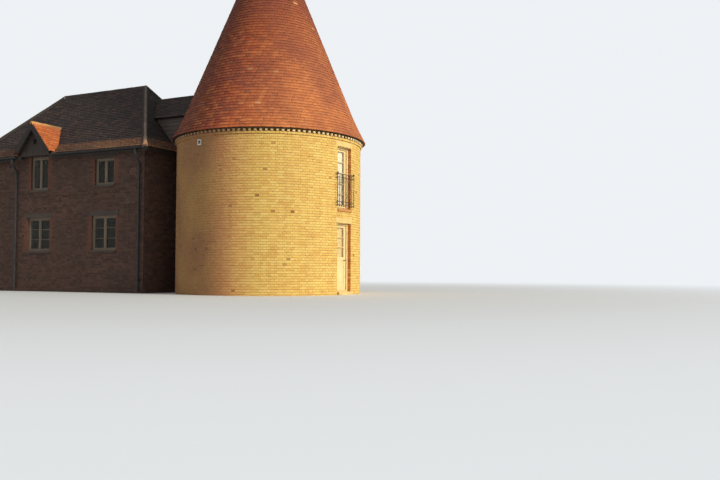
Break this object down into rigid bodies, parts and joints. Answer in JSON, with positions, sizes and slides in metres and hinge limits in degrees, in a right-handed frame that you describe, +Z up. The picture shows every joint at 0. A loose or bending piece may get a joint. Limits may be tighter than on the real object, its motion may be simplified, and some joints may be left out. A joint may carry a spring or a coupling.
{
  "type": "oast house",
  "caption": "Round brick oast kiln with a tiled cone roof, timber cowl and hinged door, linked to a hipped two-storey brick wing with a gabled dormer.",
  "frame": {"origin": "on the ground under the middle of the building's overall box", "axes": "+X along the ridge from the wing to the round kiln, +Z up, -Y towards the dormer side"},
  "size_m": [14.44, 6.0798, 12.592],
  "materials": {
    "black_iron": "black painted cast iron",
    "cone_tiles": "plain clay tiles, weathered",
    "dark_boards": "dark stained boards",
    "floor_boards": "boards",
    "floor_slab": "smooth concrete",
    "kerb_timber": "weathered timber",
    "kiln_brick": "weathered stock brick in lime mortar",
    "pale_joinery": "pale oiled timber",
    "pale_stone": "pale cast stone",
    "ridge_clay": "lichened half-round clay tiles",
    "white_boarding": "painted boards",
    "white_metal": "white paint",
    "window_glass": "clear glass",
    "wing_brick": "darker red-brown brick in lime mortar",
    "wing_joinery": "weathered oak",
    "wing_oak": "weathered oak",
    "wing_tiles": "dark plain clay tiles, weathered",
    "wrought_iron": "black painted wrought iron"
  },
  "bodies": {
    "building": {"cowl": "white_boarding", "cowl_cap": "white_boarding", "cowl_vane": "white_boarding", "door_frame": "pale_joinery", "door_lintel": "pale_stone", "doorstep": "pale_stone", "dormer_bargeboards": "dark_boards", "dormer_gable": "dark_boards", "dormer_roof": "wing_tiles", "gutters_and_downpipes": "black_iron", "hip_tiles": "ridge_clay", "kiln_cornice": "kiln_brick", "kiln_ground_floor": "floor_slab", "kiln_roof": "cone_tiles", "kiln_roof_kerb": "kerb_timber", "kiln_upper_floor": "floor_boards", "kiln_vent": "white_metal", "kiln_wall_1": "kiln_brick", "kiln_wall_2": "kiln_brick", "kiln_wall_3": "kiln_brick", "kiln_wall_4": "kiln_brick", "kiln_wall_5": "kiln_brick", "kiln_wall_6": "kiln_brick", "kiln_wall_over_door": "kiln_brick", "kiln_wall_over_window": "kiln_brick", "link_cheeks": "dark_boards", "link_lower_walls": "wing_brick", "link_roof": "wing_tiles", "railing": "wrought_iron", "ridge_tiles": "ridge_clay", "tall_window_frame": "pale_joinery", "tall_window_glass": "window_glass", "tall_window_leaf": "pale_joinery", "tall_window_lintel": "pale_stone", "tall_window_sill": "kiln_brick", "wing_back_wall": "wing_brick", "wing_front_wall": "wing_brick", "wing_ground_floor": "floor_slab", "wing_left_wall": "wing_brick", "wing_lintels_and_sills": "wing_oak", "wing_right_wall": "wing_brick", "wing_roof_back": "wing_tiles", "wing_roof_front": "wing_tiles", "wing_roof_left_hip": "wing_tiles", "wing_roof_right_hip": "wing_tiles", "wing_upper_floor": "floor_boards", "wing_window_frames": "wing_joinery", "wing_window_glass": "window_glass"},
    "door": {"door_leaf": "pale_joinery", "door_glass": "window_glass"}
  },
  "joints": [
    {"name": "door_hinge", "type": "hinge", "parent": "building", "child": "door", "pos_m": [6.79339, -0.62131, 1.145], "axis": [0, 0, 1], "range_deg": [0, 95]}
  ]
}
